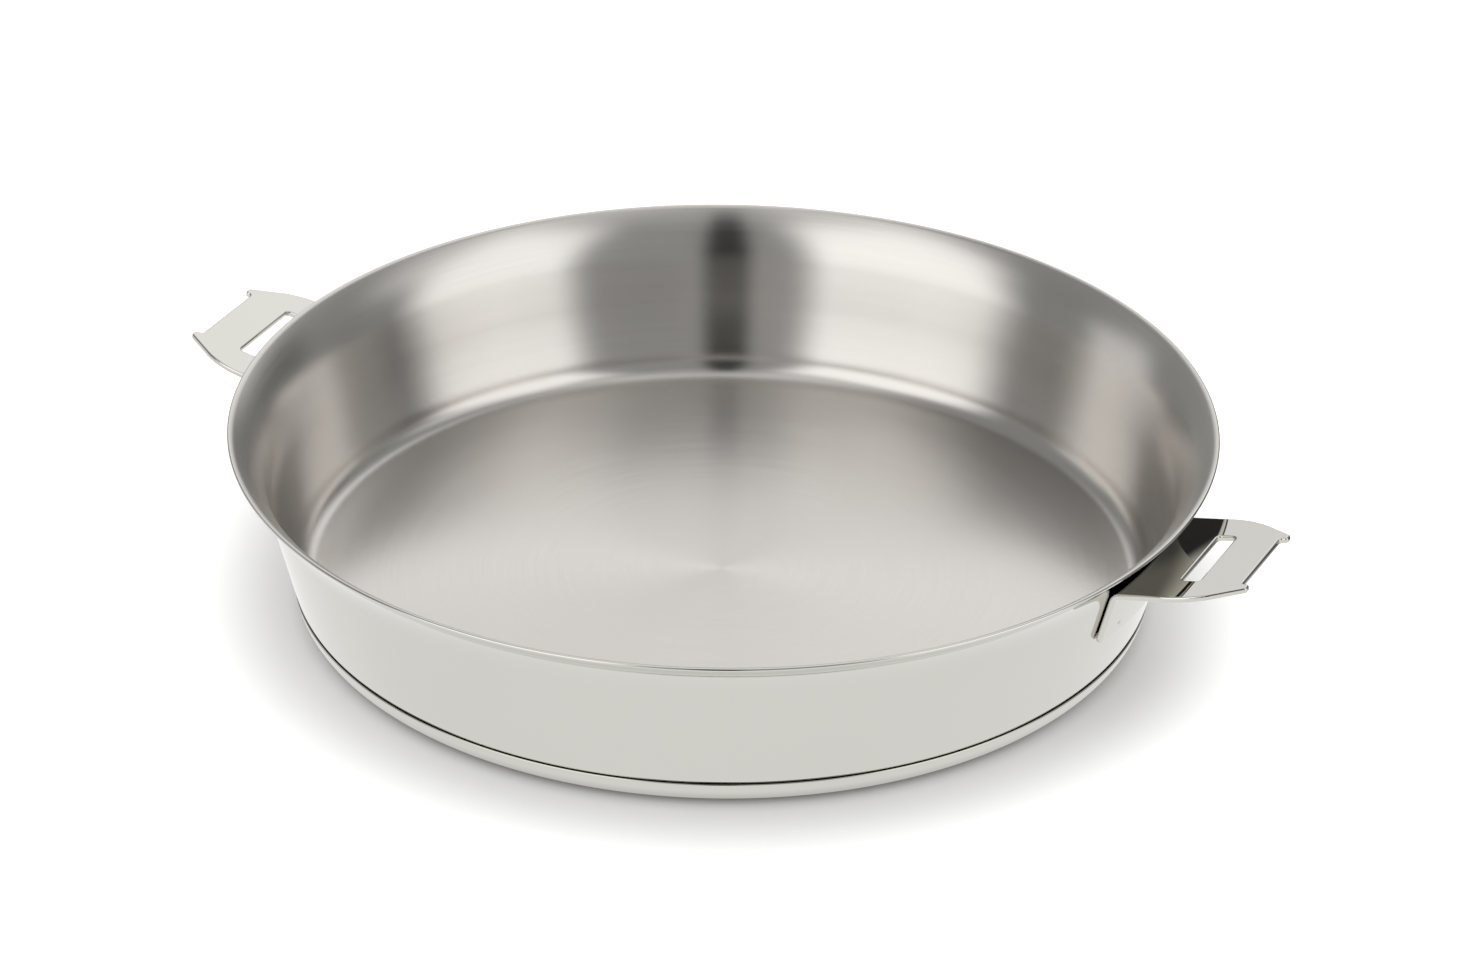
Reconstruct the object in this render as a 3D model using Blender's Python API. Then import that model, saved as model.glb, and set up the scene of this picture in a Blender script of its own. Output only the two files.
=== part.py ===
"""Frying pan of stainless steel: a shallow flared shell on a layered base, with a bent sheet
bracket spot-welded on each side for a handle that clips on.

The pan stands on the plane z = 0 with its centre on the Z axis, and the brackets point along
+X and -X. Sizes are in metres.
"""

import math

import bmesh
import bpy
from mathutils import Matrix, Vector

MM = 0.001

# Clearance between pieces that touch or are pressed together
FIT_GAP = 0.3 * MM

# Shell, drawn from one sheet
RIM_DIAMETER = 300.0 * MM
PAN_HEIGHT = 57.5 * MM
SHELL_SHEET = 1.0 * MM
WALL_DRAFT = math.radians(14.2)
LIP_RADIUS = 10.6 * MM  # food side of the flare below the rim
LIP_RISE = math.radians(8.0)  # slope that the lip still has at its edge
FLOOR_CORNER_RADIUS = 7.0 * MM

# Heat-spreading disc and the magnetic cap that holds it
DISC_THICKNESS = 3.4 * MM
DISC_SETBACK = 3.0 * MM  # from the cap's widest edge to the disc's edge
CAP_SHEET = 0.5 * MM
CAP_LAP = 3.7 * MM  # how far the cap's edge climbs past the shell's underside
CAP_CORNER_RADIUS = 8.3 * MM

# Bracket, bent from one sheet
BRACKET_SHEET = 1.8 * MM
BRACKET_WIDTH = 53.0 * MM
BRACKET_BEND_RADIUS = 1.8 * MM  # inside of the bend
BRACKET_REACH = 26.7 * MM  # from the rim's edge to the tips of the horns
PLATE_SLOPE = math.radians(11.5)
PLATE_DROP = 9.7 * MM  # from the rim's top to the plate, under the rim's edge
LEG_DROP = 29.5 * MM  # from the rim's top to the lower edge of the leg
LEG_CORNER_RADIUS = 2.0 * MM
TAPER_LENGTH = 14.2 * MM
TAPER_CORNER_RADIUS = 10.0 * MM
HORN_SPAN = 35.6 * MM
HORN_LENGTH = 2.2 * MM
HORN_WIDTH = 2.7 * MM
HORN_RADIUS = 1.0 * MM
SLOT_WIDTH = 5.6 * MM
SLOT_LENGTH = 29.6 * MM
SLOT_TO_EDGE = 13.4 * MM  # from the slot to the plate's recessed edge
SLOT_CORNER_RADIUS = 1.2 * MM
SHEET_EDGE_RADIUS = 0.6 * MM

# Spot welds between each bracket's leg and the shell
WELD_COUNT = 3
WELD_DIAMETER = 4.4 * MM
WELD_THICKNESS = 1.0 * MM
WELD_TO_LEG_SIDE = 9.0 * MM
WELD_TO_LEG_EDGE = 4.2 * MM

# Fineness of the round shapes
TURN_STEPS = 96
WELD_SIDES = 24
STRIPS_ACROSS = 10
BEND_STEPS = 6
SMOOTH_ANGLE = math.radians(35.0)

# Sizes that follow from those above
RIM_RADIUS = RIM_DIAMETER / 2
SHELL_UNDERSIDE = CAP_SHEET + FIT_GAP + DISC_THICKNESS + FIT_GAP
FLOOR_HEIGHT = SHELL_UNDERSIDE + SHELL_SHEET
CAP_HEIGHT = SHELL_UNDERSIDE + CAP_LAP
WALL_SLOPE = math.tan(WALL_DRAFT)

LIP_EDGE_ANGLE = math.pi / 2 + LIP_RISE
LIP_WALL_ANGLE = math.pi - WALL_DRAFT
LIP_MIDDLE_RADIUS = LIP_RADIUS - SHELL_SHEET / 2
LIP_CENTRE = Vector((
    RIM_RADIUS - SHELL_SHEET / 2 - LIP_MIDDLE_RADIUS * math.cos(LIP_EDGE_ANGLE),
    PAN_HEIGHT - SHELL_SHEET / 2 - LIP_MIDDLE_RADIUS * math.sin(LIP_EDGE_ANGLE)))


def outer_wall_radius(height):
    """Radius of the shell's straight outer wall at a height."""
    tangent_radius = LIP_CENTRE.x + (LIP_RADIUS - SHELL_SHEET) * math.cos(LIP_WALL_ANGLE)
    tangent_height = LIP_CENTRE.y + (LIP_RADIUS - SHELL_SHEET) * math.sin(LIP_WALL_ANGLE)
    return tangent_radius + (height - tangent_height) * WALL_SLOPE


SHELL_CORNER_RADIUS = FLOOR_CORNER_RADIUS + SHELL_SHEET
FLOOR_CORNER_HEIGHT = FLOOR_HEIGHT + FLOOR_CORNER_RADIUS
FLOOR_CORNER = Vector((
    outer_wall_radius(FLOOR_CORNER_HEIGHT) - SHELL_CORNER_RADIUS / math.cos(WALL_DRAFT),
    FLOOR_CORNER_HEIGHT))


def arc(centre, radius, start, end, steps):
    """Points along an arc in the (radius, height) plane, ends included."""
    angles = [start + (end - start) * step / steps for step in range(steps + 1)]
    return [(centre.x + radius * math.cos(angle), centre.y + radius * math.sin(angle))
            for angle in angles]


def steel(name, colour, roughness):
    """A bare metal with the given colour and roughness."""
    material = bpy.data.materials.new(name)
    material.use_nodes = True
    shader = material.node_tree.nodes["Principled BSDF"]
    shader.inputs["Base Color"].default_value = (*colour, 1.0)
    shader.inputs["Metallic"].default_value = 1.0
    shader.inputs["Roughness"].default_value = roughness
    return material


def add_piece(name, mesh_data, material, parent=None):
    """Turn a bmesh into a smooth-shaded object of one material."""
    bmesh.ops.recalc_face_normals(mesh_data, faces=mesh_data.faces)
    mesh = bpy.data.meshes.new(name)
    mesh_data.to_mesh(mesh)
    mesh_data.free()
    mesh.shade_smooth()
    mesh.set_sharp_from_angle(angle=SMOOTH_ANGLE)
    piece = bpy.data.objects.new(name, mesh)
    piece.parent = parent
    bpy.context.scene.collection.objects.link(piece)
    if material:
        mesh.materials.append(material)
    return piece


def turn(profile):
    """Spin a profile that starts and ends on the Z axis into a closed solid."""
    solid = bmesh.new()
    points = [solid.verts.new((radius, 0.0, height)) for radius, height in profile]
    edges = [solid.edges.new(pair) for pair in zip(points, points[1:])]
    bmesh.ops.spin(solid, geom=points + edges, cent=(0, 0, 0), axis=(0, 0, 1),
                   angle=math.tau, steps=TURN_STEPS, use_merge=True)
    bmesh.ops.remove_doubles(solid, verts=solid.verts, dist=FIT_GAP / 100)
    return solid


def shell_profile():
    """Floor, wall and lip on the food side, then round the edge and back underneath."""
    wall_angle = -WALL_DRAFT
    floor_angle = -math.pi / 2
    edge_centre = Vector((
        LIP_CENTRE.x + LIP_MIDDLE_RADIUS * math.cos(LIP_EDGE_ANGLE),
        LIP_CENTRE.y + LIP_MIDDLE_RADIUS * math.sin(LIP_EDGE_ANGLE)))
    food_side = arc(FLOOR_CORNER, FLOOR_CORNER_RADIUS, floor_angle, wall_angle, 5)
    food_side += arc(LIP_CENTRE, LIP_RADIUS, LIP_WALL_ANGLE, LIP_EDGE_ANGLE, 6)
    edge = arc(edge_centre, SHELL_SHEET / 2, LIP_EDGE_ANGLE, LIP_EDGE_ANGLE - math.pi, 6)[1:-1]
    underside = arc(LIP_CENTRE, LIP_RADIUS - SHELL_SHEET, LIP_EDGE_ANGLE, LIP_WALL_ANGLE, 6)
    underside += arc(FLOOR_CORNER, SHELL_CORNER_RADIUS, wall_angle, floor_angle, 5)
    return [(0, FLOOR_HEIGHT)] + food_side + edge + underside + [(0, SHELL_UNDERSIDE)]


def cap_corner():
    """Centre of the cap's rounded corner, and the angle at which its wall leaves the corner.

    The cap's edge lies one gap outside the shell's own corner, and its wall leans as the pan's
    wall does. A large corner reaches the edge before it gets that steep.
    """
    inner_radius = CAP_CORNER_RADIUS - CAP_SHEET
    shell_reach = SHELL_CORNER_RADIUS + FIT_GAP
    edge_height = CAP_HEIGHT - FLOOR_CORNER.y
    edge_radius = FLOOR_CORNER.x + math.sqrt(shell_reach ** 2 - min(edge_height, 0.0) ** 2)
    wall_foot = CAP_CORNER_RADIUS - inner_radius * math.sin(WALL_DRAFT)
    if CAP_HEIGHT > wall_foot:
        wall_run = (CAP_HEIGHT - wall_foot) * WALL_SLOPE
        centre_radius = edge_radius - wall_run - inner_radius * math.cos(WALL_DRAFT)
        return Vector((centre_radius, CAP_CORNER_RADIUS)), -WALL_DRAFT
    edge_angle = math.asin((CAP_HEIGHT - CAP_CORNER_RADIUS) / inner_radius)
    centre_radius = edge_radius - inner_radius * math.cos(edge_angle)
    return Vector((centre_radius, CAP_CORNER_RADIUS)), edge_angle


CAP_CORNER, CAP_WALL_ANGLE = cap_corner()


def cap_wall_radius(corner_radius):
    """Radius of one face of the cap's wall at the cap's edge."""
    foot_height = CAP_CORNER.y + corner_radius * math.sin(CAP_WALL_ANGLE)
    foot_radius = CAP_CORNER.x + corner_radius * math.cos(CAP_WALL_ANGLE)
    return foot_radius + max(CAP_HEIGHT - foot_height, 0.0) * math.tan(-CAP_WALL_ANGLE)


def cap_profile():
    """Inside of the cap from its middle to its edge, then back along the outside."""
    floor_angle = -math.pi / 2
    inner_radius = CAP_CORNER_RADIUS - CAP_SHEET
    inside = arc(CAP_CORNER, inner_radius, floor_angle, CAP_WALL_ANGLE, 5)
    outside = arc(CAP_CORNER, CAP_CORNER_RADIUS, CAP_WALL_ANGLE, floor_angle, 5)
    edge = [(cap_wall_radius(inner_radius), CAP_HEIGHT),
            (cap_wall_radius(CAP_CORNER_RADIUS), CAP_HEIGHT)]
    return [(0, CAP_SHEET)] + inside + edge + outside + [(0, 0)]


def disc_profile():
    """The disc fills the cap's corner below and follows the shell's corner above."""
    disc_radius = cap_wall_radius(CAP_CORNER_RADIUS) - DISC_SETBACK
    lower_radius = CAP_CORNER_RADIUS - CAP_SHEET - FIT_GAP
    upper_radius = SHELL_CORNER_RADIUS + FIT_GAP
    lower_end = -math.acos((disc_radius - CAP_CORNER.x) / lower_radius)
    upper_end = -math.acos((disc_radius - FLOOR_CORNER.x) / upper_radius)
    top = arc(FLOOR_CORNER, upper_radius, -math.pi / 2, upper_end, 3)
    bottom = arc(CAP_CORNER, lower_radius, lower_end, -math.pi / 2, 3)
    return [(0, SHELL_UNDERSIDE - FIT_GAP)] + top + bottom + [(0, CAP_SHEET + FIT_GAP)]


# Places on the bracket: u is the distance from the pan's axis, v runs across the bracket
RECESS_U = RIM_RADIUS + BRACKET_REACH - HORN_LENGTH
PLATE_DIRECTION = Vector((math.cos(PLATE_SLOPE), math.sin(PLATE_SLOPE)))
OUTER_BEND_RADIUS = BRACKET_BEND_RADIUS + BRACKET_SHEET
LEG_FOOT_HEIGHT = PAN_HEIGHT - LEG_DROP


def plate_height(u):
    """Height of the plate's top face."""
    return PAN_HEIGHT - PLATE_DROP + (u - RIM_RADIUS) * math.tan(PLATE_SLOPE)


def leg_u(height, v):
    """Distance of the leg's inner face from the pan's axis, one gap outside the round wall."""
    face_radius = outer_wall_radius(height) + FIT_GAP / math.cos(WALL_DRAFT)
    return math.sqrt(face_radius ** 2 - v ** 2)


def bracket_section(v):
    """Foot of the leg, its lean and the bend's centre in the slice of the bracket at v."""
    top_height = plate_height(RIM_RADIUS)
    foot = Vector((leg_u(LEG_FOOT_HEIGHT, v), LEG_FOOT_HEIGHT))
    lean_slope = (leg_u(top_height, v) - foot.x) / (top_height - foot.y)
    lean = math.atan(lean_slope)
    # The bend's centre lies one outer bend radius from the leg's face and from the plate's face.
    plate_offset = plate_height(0) - OUTER_BEND_RADIUS / math.cos(PLATE_SLOPE)
    leg_offset = foot.x - foot.y * lean_slope + OUTER_BEND_RADIUS / math.cos(lean)
    plate_slope = math.tan(PLATE_SLOPE)
    centre_u = (leg_offset + lean_slope * plate_offset) / (1 - lean_slope * plate_slope)
    return foot, lean, Vector((centre_u, plate_offset + centre_u * plate_slope))


# The flat blank's own coordinate x equals u on the plate, and runs on round the bend to the leg
BEND_ANGLE = math.pi / 2 - WALL_DRAFT - PLATE_SLOPE
BEND_LENGTH = OUTER_BEND_RADIUS * BEND_ANGLE
MIDDLE_FOOT, MIDDLE_LEAN, MIDDLE_BEND_CENTRE = bracket_section(0.0)
PLATE_START = MIDDLE_BEND_CENTRE.x - OUTER_BEND_RADIUS * math.sin(PLATE_SLOPE) + BRACKET_SHEET / 2
BEND_END = PLATE_START - BRACKET_SHEET / 2
BEND_START = BEND_END - BEND_LENGTH
LEG_LENGTH = (MIDDLE_BEND_CENTRE.y + OUTER_BEND_RADIUS * math.sin(MIDDLE_LEAN)
              - LEG_FOOT_HEIGHT) / math.cos(MIDDLE_LEAN)
LEG_EDGE = BEND_START - LEG_LENGTH


def bend(point):
    """Move a point of the flat blank to its place on the bent bracket."""
    x, v, depth = point.x, point.y, -point.z
    foot, lean, centre = bracket_section(v)
    if x >= BEND_END:
        tangent_u = centre.x - OUTER_BEND_RADIUS * math.sin(PLATE_SLOPE)
        run = min((x - BEND_END) / (PLATE_START - BEND_END), 1.0)
        u = tangent_u + run * (PLATE_START - tangent_u) + max(x - PLATE_START, 0.0)
        face = Vector((u, plate_height(u)))
        outward = math.pi / 2 + PLATE_SLOPE
    else:
        turned = min(max((x - BEND_START) / BEND_LENGTH, 0.0), 1.0)
        outward = (math.pi - lean) + turned * (PLATE_SLOPE + lean - math.pi / 2)
        face = centre + OUTER_BEND_RADIUS * Vector((math.cos(outward), math.sin(outward)))
        if x < BEND_START:
            face = face.lerp(foot, (BEND_START - x) / LEG_LENGTH)
    face -= depth * Vector((math.cos(outward), math.sin(outward)))
    return Vector((face.x, v, face.y))


def rounded_outline(corners, steps=4):
    """Points of a closed outline whose corners (x, y, radius) are rounded."""
    outline = []
    for index, (x, y, radius) in enumerate(corners):
        corner = Vector((x, y))
        before = (Vector(corners[index - 1][:2]) - corner).normalized()
        after = (Vector(corners[(index + 1) % len(corners)][:2]) - corner).normalized()
        half_angle = before.angle(after) / 2
        centre = corner + (before + after).normalized() * radius / math.sin(half_angle)
        start = corner + before * radius / math.tan(half_angle) - centre
        end = corner + after * radius / math.tan(half_angle) - centre
        sweep = start.angle_signed(end)
        for step in range(steps + 1):
            turned = Matrix.Rotation(-sweep * step / steps, 2) @ start
            outline.append(centre + turned)
    return outline


def plate_outline():
    """Outline of the flat blank: leg, sides, tapers, horns and the recessed edge between them."""
    side = BRACKET_WIDTH / 2
    tip = RECESS_U + HORN_LENGTH
    horn_outside = HORN_SPAN / 2
    horn_inside = horn_outside - HORN_WIDTH
    half = [(LEG_EDGE, side, LEG_CORNER_RADIUS),
            (tip - TAPER_LENGTH, side, TAPER_CORNER_RADIUS),
            (tip, horn_outside, HORN_RADIUS),
            (tip, horn_inside, HORN_RADIUS),
            (RECESS_U, horn_inside, HORN_RADIUS)]
    return rounded_outline(half + [(x, -y, radius) for x, y, radius in reversed(half)])


def slot_outline():
    """Outline of the slot across the plate."""
    outer = RECESS_U - SLOT_TO_EDGE
    inner = outer - SLOT_WIDTH
    side = SLOT_LENGTH / 2
    return rounded_outline([(x, y, SLOT_CORNER_RADIUS) for x, y in
                            ((inner, side), (outer, side), (outer, -side), (inner, -side))])


def bracket_blank():
    """The flat punched sheet, with rounded edges, its top face at z = 0."""
    blank = bmesh.new()
    for outline in (plate_outline(), slot_outline()):
        loop = [blank.verts.new((point.x, point.y, 0.0)) for point in outline]
        for first, second in zip(loop, loop[1:] + loop[:1]):
            blank.edges.new((first, second))
    filled = bmesh.ops.triangle_fill(blank, edges=blank.edges, use_beauty=True,
                                     use_dissolve=True, normal=(0, 0, 1))
    faces = [item for item in filled["geom"] if isinstance(item, bmesh.types.BMFace)]
    pushed = bmesh.ops.extrude_face_region(blank, geom=faces, use_keep_orig=True)
    lower = [item for item in pushed["geom"] if isinstance(item, bmesh.types.BMVert)]
    bmesh.ops.translate(blank, verts=lower, vec=(0, 0, -BRACKET_SHEET))
    bmesh.ops.recalc_face_normals(blank, faces=blank.faces)
    rims = [edge for edge in blank.edges if edge.calc_face_angle(0.0) > SMOOTH_ANGLE
            and abs(edge.verts[0].co.z - edge.verts[1].co.z) < FIT_GAP]
    bmesh.ops.bevel(blank, geom=rims, affect="EDGES", offset=SHEET_EDGE_RADIUS, segments=2,
                    profile=0.5, material=-1)
    return blank


def cut_blank(blank):
    """Cut the blank into strips along its bend and across its width, so that it can bend."""
    bend_lines = [BEND_START + BEND_LENGTH * step / BEND_STEPS for step in range(BEND_STEPS + 1)]
    for x in bend_lines + [PLATE_START]:
        bmesh.ops.bisect_plane(blank, geom=blank.verts[:] + blank.edges[:] + blank.faces[:],
                               dist=FIT_GAP / 100, plane_co=(x, 0, 0), plane_no=(1, 0, 0))
    for strip in range(1, STRIPS_ACROSS):
        v = BRACKET_WIDTH * (strip / STRIPS_ACROSS - 0.5)
        bmesh.ops.bisect_plane(blank, geom=blank.verts[:] + blank.edges[:] + blank.faces[:],
                               dist=FIT_GAP / 100, plane_co=(0, v, 0), plane_no=(0, 1, 0))


def weld_places():
    """Matrices that put a weld's axis square to the wall, its inner face one gap off the wall."""
    height = LEG_FOOT_HEIGHT + WELD_TO_LEG_EDGE
    outermost = BRACKET_WIDTH / 2 - WELD_TO_LEG_SIDE
    places = []
    for index in range(WELD_COUNT):
        v = outermost * (2 * index / (WELD_COUNT - 1) - 1)
        azimuth = math.asin(v / outer_wall_radius(height))
        face_radius = outer_wall_radius(height) + FIT_GAP / math.cos(WALL_DRAFT)
        square_to_wall = Matrix.Rotation(math.pi / 2 + WALL_DRAFT, 4, "Y")
        places.append(Matrix.Rotation(azimuth, 4, "Z")
                      @ Matrix.Translation((face_radius, 0, height)) @ square_to_wall)
    return places


def weld_body(radius, inner_depth, outer_depth):
    """A round slug along its own Z axis, from inside the wall's face to outside it."""
    slug = bmesh.new()
    middle = Matrix.Translation((0, 0, (outer_depth + inner_depth) / 2))
    bmesh.ops.create_cone(slug, cap_ends=True, segments=WELD_SIDES, radius1=radius,
                          radius2=radius, depth=outer_depth - inner_depth, matrix=middle)
    return slug


def weld_pockets(side, parent):
    """The hollows that the welds fill in the back of the leg, as one cutter."""
    cutter_data = bmesh.new()
    pocket = weld_body(WELD_DIAMETER / 2 + FIT_GAP, -FIT_GAP, WELD_THICKNESS + FIT_GAP)
    pocket_mesh = bpy.data.meshes.new("pocket")
    pocket.to_mesh(pocket_mesh)
    pocket.free()
    for place in weld_places():
        known = len(cutter_data.verts)
        cutter_data.from_mesh(pocket_mesh)
        cutter_data.verts.ensure_lookup_table()
        bmesh.ops.transform(cutter_data, matrix=place, verts=cutter_data.verts[known:])
    bpy.data.meshes.remove(pocket_mesh)
    cutter = add_piece(f"weld_pockets_{side}", cutter_data, None, parent)
    cutter.hide_render = True
    cutter.display_type = "WIRE"
    return cutter


def build_bracket(side, azimuth, material):
    """One bracket with its spot welds, turned about the pan's axis to its place."""
    place = bpy.data.objects.new(f"bracket_place_{side}", None)
    place.rotation_euler.z = azimuth
    bpy.context.scene.collection.objects.link(place)
    blank = bracket_blank()
    cut_blank(blank)
    for vertex in blank.verts:
        vertex.co = bend(vertex.co)
    bracket = add_piece(f"bracket_{side}", blank, material, place)
    pockets = bracket.modifiers.new("weld pockets", "BOOLEAN")
    pockets.operation = "DIFFERENCE"
    pockets.solver = "EXACT"
    pockets.object = weld_pockets(side, place)
    for index, weld_place in enumerate(weld_places(), start=1):
        slug = weld_body(WELD_DIAMETER / 2, 0.0, WELD_THICKNESS)
        weld = add_piece(f"spot_weld_{side}_{index}", slug, material, place)
        weld.matrix_local = weld_place


def main():
    for leftover in list(bpy.data.objects):
        bpy.data.objects.remove(leftover, do_unlink=True)
    satin_steel = steel("satin_steel", (0.62, 0.61, 0.59), 0.28)
    polished_steel = steel("polished_steel", (0.66, 0.65, 0.63), 0.08)
    aluminium = steel("aluminium", (0.78, 0.78, 0.79), 0.4)
    add_piece("pan_shell", turn(shell_profile()), satin_steel)
    add_piece("base_cap", turn(cap_profile()), polished_steel)
    add_piece("heat_spreader_disc", turn(disc_profile()), aluminium)
    for side, azimuth in (("right", 0.0), ("left", math.pi)):
        build_bracket(side, azimuth, polished_steel)


main()
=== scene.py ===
"""Looks of a frying pan of stainless steel with a handle bracket on each side.

The packed model is the frame. The pan stands on the plane z = 0 with its centre on the Z axis,
and the brackets point along +X and -X. Sizes are in metres.
"""

import math
from functools import cache
from typing import NamedTuple

import bmesh
import bpy
from bpy.props import FloatProperty, FloatVectorProperty, IntProperty, PointerProperty
from mathutils import Matrix, Vector


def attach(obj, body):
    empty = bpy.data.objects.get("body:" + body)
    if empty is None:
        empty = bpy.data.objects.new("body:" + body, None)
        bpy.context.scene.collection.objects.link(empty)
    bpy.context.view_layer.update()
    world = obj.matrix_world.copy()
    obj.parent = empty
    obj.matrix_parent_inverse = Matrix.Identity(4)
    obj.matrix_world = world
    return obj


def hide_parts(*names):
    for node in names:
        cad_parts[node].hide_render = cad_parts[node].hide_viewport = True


bl_info = {
    "name": "Frying Pan with Handle Brackets",
    "version": (1, 0, 0),
    "blender": (4, 5, 0),
    "location": "3D Viewport > Sidebar > Frying Pan",
    "description": "Dresses the packed frying pan with finer steel pieces and sets up its stage",
    "category": "Object",
}

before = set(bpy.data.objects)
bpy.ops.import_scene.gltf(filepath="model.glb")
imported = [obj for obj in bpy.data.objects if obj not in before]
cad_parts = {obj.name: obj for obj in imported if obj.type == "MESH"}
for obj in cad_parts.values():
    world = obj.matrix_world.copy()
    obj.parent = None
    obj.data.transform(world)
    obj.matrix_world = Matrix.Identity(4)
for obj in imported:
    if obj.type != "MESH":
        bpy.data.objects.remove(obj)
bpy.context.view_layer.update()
BODY = "root"
MERGE_DISTANCE = 1e-6
DEGREES_PER_RADIAN = math.degrees(1.0)
WHITE = (1.0, 1.0, 1.0)

# Edges that bend more than this stay sharp.
SMOOTH_ANGLE = math.radians(35.0)
# Upright part of a normal, above which a face of the blank counts as flat.
FLAT_NORMAL = 0.9999
# Upright part of a normal, below which a face of the shell counts as facing down.
DOWN_NORMAL = -0.05
# Share of a weld mark's radius that dull metal covers.
DULL_SHARE = 0.7
# Stands in for smaller distances from the pan's axis, where a direction would divide by 0.
NEAR_AXIS = 1e-4
# Share of the fine lines in the brushing. The rest of it is broad lines.
FINE_SHARE = 0.6

# Faces along each stretch of the shell's profile.
FLOOR_STEPS = 24
CORNER_STEPS = 12
WALL_STEPS = 8
FLARE_STEPS = 18
LIP_STEPS = 8
EDGE_STEPS = 10

# Faces along each stretch of the cap's profile.
CAP_FLOOR_STEPS = 12
CAP_INNER_STEPS = 10
CAP_OUTER_STEPS = 16
CAP_EDGE_STEPS = 4

# Faces along each stretch of the brackets, and round their corners and edges.
LEG_STEPS = 36
BEND_STEPS = 12
PLATE_STEPS = 30
ACROSS_STEPS = 96
OUTLINE_STEPS = 8
ROUNDING_STEPS = 5

# Rings of the floor about the pan's axis, from where a change starts to where it is complete.
CLEAR_RING = (0.112, 0.113)
FOOT_RING = (0.12, 0.134)
# Ring beside the base over which the floor's grey is painted darker, as painted shadow.
PAINTED_SHADOW_RING = (0.122, 0.134)
GLOW_RING = (0.128, 0.175)
SHADE_RING = (0.2, 0.26)
FAR_RING = (0.25, 0.6)


def length(name, description, default):
    """A length in metres that the user may change."""
    return FloatProperty(name=name, description=description, default=default, min=0.0,
                         precision=5, unit="LENGTH")


def angle(name, description, degrees):
    """An angle that the user may change."""
    return FloatProperty(name=name, description=description, default=math.radians(degrees),
                         subtype="ANGLE")


def share(name, description, default):
    """A number from 0 to 1 that the user may change."""
    return FloatProperty(name=name, description=description, default=default, min=0.0, max=1.0)


def colour(name, description, default):
    """A colour that the user may change."""
    return FloatVectorProperty(name=name, description=description, default=default,
                               subtype="COLOR", size=3, min=0.0, max=1.0)


def strength(name, description, default):
    """A strength of light, where 1 renders white."""
    return FloatProperty(name=name, description=description, default=default, min=0.0)


class PanSizes(bpy.types.PropertyGroup):
    """Sizes of the shell and its base"""

    rim_diameter: length("Rim Diameter", "Across the outer edge of the lip", 0.3)
    height: length("Height", "From the standing surface to the top of the lip", 0.0575)
    sheet: length("Sheet", "Thickness of the shell", 0.001)
    wall_draft: angle("Wall Draft", "Lean of the wall from upright", 14.2)
    flare_radius: length("Flare Radius", "Food side of the slow flare above the wall", 0.02797)
    flare_lean: angle("Flare Lean", "Lean from upright where the flare ends", 50.0)
    lip_radius: length("Lip Radius", "Food side of the tight curve below the edge", 0.003)
    lip_rise: angle("Lip Rise", "Slope that the lip still has at its edge", 8.0)
    corner_radius: length("Corner Radius", "Food side of the corner round the floor", 0.007)
    disc_thickness: length("Disc Thickness", "Heat-spreading disc under the floor", 0.0034)
    fit_gap: length("Fit Gap", "Clearance between pieces that touch", 0.0003)
    cap_sheet: length("Cap Sheet", "Thickness of the cap under the base", 0.0005)
    cap_lap: length("Cap Lap", "How far the cap climbs past the shell's underside", 0.0037)
    cap_corner_radius: length("Cap Corner Radius", "Outside of the cap's corner", 0.0083)
    cap_edge_radius: length("Cap Edge Radius", "Rounding of the cap's upper edge", 0.0002)
    seam_gap: length("Seam Gap", "Gap along the cap's upper edge", 0.0002)
    turn_steps: IntProperty(name="Turn Steps", description="Faces around the pan", default=360,
                            min=12)


class BracketSizes(bpy.types.PropertyGroup):
    """Sizes of the brackets and of their weld marks"""

    sheet: length("Sheet", "Thickness of the bracket", 0.0018)
    width: length("Width", "Across the plate", 0.053)
    bend_radius: length("Bend Radius", "Inside of the bend", 0.0018)
    reach: length("Reach", "From the rim's edge to the tips of the horns", 0.02669)
    plate_slope: angle("Plate Slope", "Rise of the plate outwards", 11.5)
    plate_drop: length("Plate Drop", "From the rim's top to the plate under the rim", 0.0097)
    leg_drop: length("Leg Drop", "From the rim's top to the leg's lower edge", 0.0295)
    leg_corner_radius: length("Leg Corner Radius", "Lower corners of the leg", 0.002)
    taper_length: length("Taper Length", "Length of the narrowing sides", 0.0142)
    taper_radius: length("Taper Radius", "Rounding where the sides start to narrow", 0.022)
    horn_span: length("Horn Span", "Across the two horns", 0.0356)
    horn_length: length("Horn Length", "From the recessed edge to the horns' tips", 0.0022)
    horn_width: length("Horn Width", "Width of one horn", 0.0027)
    horn_radius: length("Horn Radius", "Rounding of the horns", 0.001)
    slot_width: length("Slot Width", "Slot for the handle's hook, along the plate", 0.0056)
    slot_length: length("Slot Length", "Slot for the handle's hook, across the plate", 0.0296)
    slot_to_edge: length("Slot to Edge", "From the slot to the recessed edge", 0.0134)
    slot_radius: length("Slot Radius", "Corners of the slot", 0.0012)
    edge_radius: length("Edge Radius", "Rounding of the sheet's edges", 0.0006)
    mark_radius: length("Mark Radius", "Dimple that the welding tool leaves", 0.0009)
    mark_depth: length("Mark Depth", "Depth of that dimple", 0.0003)
    mark_to_side: length("Mark to Side", "From the outermost mark to the leg's side", 0.009)
    mark_to_edge: length("Mark to Edge", "From the marks to the leg's lower edge", 0.0042)
    mark_count: IntProperty(name="Mark Count", description="Weld marks on each leg", default=3,
                            min=2, max=3)


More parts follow.
